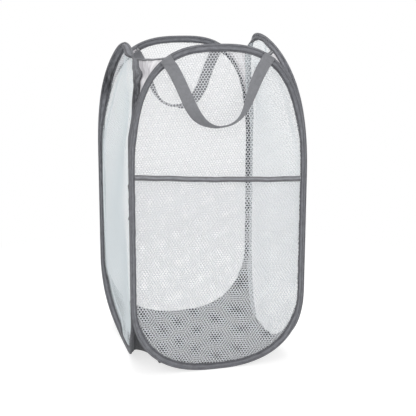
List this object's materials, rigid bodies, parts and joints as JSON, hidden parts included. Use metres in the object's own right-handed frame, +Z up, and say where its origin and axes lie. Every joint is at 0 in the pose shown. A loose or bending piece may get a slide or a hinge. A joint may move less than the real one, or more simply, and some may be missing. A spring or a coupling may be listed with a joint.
{
  "type": "pop up laundry hamper",
  "caption": "Square pop up laundry hamper of white mesh panels in oval spring hoops bound with grey tape, with front pocket, corner gussets, cloth base and webbing handles.",
  "frame": {"origin": "on the floor, under the middle of the whole hamper", "axes": "+Z up, -Y towards the viewer of the front panel with the pocket, +X to its right"},
  "size_m": [0.3358, 0.3534, 0.6172],
  "materials": {
    "white_mesh": "open knitted polyester mesh, slightly glossy thread",
    "grey_tape": "matte woven binding tape, folded and stitched",
    "white_cloth": "thin translucent woven nylon, crumpled",
    "grey_cloth": "dense woven polyester",
    "grey_webbing": "flat ribbed webbing, matte",
    "spring_steel": "drawn spring wire"
  },
  "bodies": {
    "front_panel": {"front_panel_mesh": "white_mesh", "front_spring_hoop": "spring_steel", "front_wire_sleeve": "spring_steel", "front_binding": "grey_tape", "pocket_mesh": "white_mesh", "pocket_top_tape": "grey_tape", "front_handle_end_left": "grey_webbing", "front_handle_end_right": "grey_webbing", "base_cloth": "grey_cloth", "front_left_gusset": "white_cloth", "front_left_hem_tape": "grey_tape", "front_right_gusset": "white_cloth", "front_right_hem_tape": "grey_tape"},
    "left_panel": {"left_panel_mesh": "white_mesh", "left_spring_hoop": "spring_steel", "left_wire_sleeve": "spring_steel", "left_binding": "grey_tape"},
    "right_panel": {"right_panel_mesh": "white_mesh", "right_spring_hoop": "spring_steel", "right_wire_sleeve": "spring_steel", "right_binding": "grey_tape"},
    "rear_panel": {"rear_panel_mesh": "white_mesh", "rear_spring_hoop": "spring_steel", "rear_wire_sleeve": "spring_steel", "rear_binding": "grey_tape", "rear_handle_end_left": "grey_webbing", "rear_handle_end_right": "grey_webbing", "rear_left_gusset": "white_cloth", "rear_left_hem_tape": "grey_tape", "rear_right_gusset": "white_cloth", "rear_right_hem_tape": "grey_tape"},
    "front_handle": {"front_handle": "grey_webbing"},
    "rear_handle": {"rear_handle": "grey_webbing"}
  },
  "joints": [
    {"name": "left_fold", "type": "hinge", "parent": "front_panel", "child": "left_panel", "pos_m": [-0.16275, -0.15397, 0.3], "axis": [0, 0, -1], "range_deg": [0, 48], "deforming": ["front_left_gusset", "front_left_hem_tape", "base_cloth"]},
    {"name": "right_fold", "type": "hinge", "parent": "front_panel", "child": "right_panel", "pos_m": [0.1658, -0.15702, 0.3], "axis": [0, 0, -1], "range_deg": [0, 48], "deforming": ["front_right_gusset", "front_right_hem_tape"]},
    {"name": "rear_fold", "type": "hinge", "parent": "left_panel", "child": "rear_panel", "pos_m": [-0.1658, 0.17458, 0.3], "axis": [0, 0, 1], "range_deg": [0, 48], "deforming": ["rear_left_gusset", "rear_left_hem_tape", "rear_right_gusset", "rear_right_hem_tape"]},
    {"name": "front_handle_swing", "type": "hinge", "parent": "front_panel", "child": "front_handle", "pos_m": [0, -0.15399, 0.57361], "axis": [-1, 0, 0], "range_deg": [0, 180]},
    {"name": "rear_handle_swing", "type": "hinge", "parent": "rear_panel", "child": "rear_handle", "pos_m": [0, 0.14441, 0.57263], "axis": [-1, 0, 0], "range_deg": [0, 165]}
  ],
  "couplings": [
    {"joint": "right_fold", "follows": "left_fold", "ratio": 1},
    {"joint": "rear_fold", "follows": "left_fold", "ratio": 1}
  ]
}
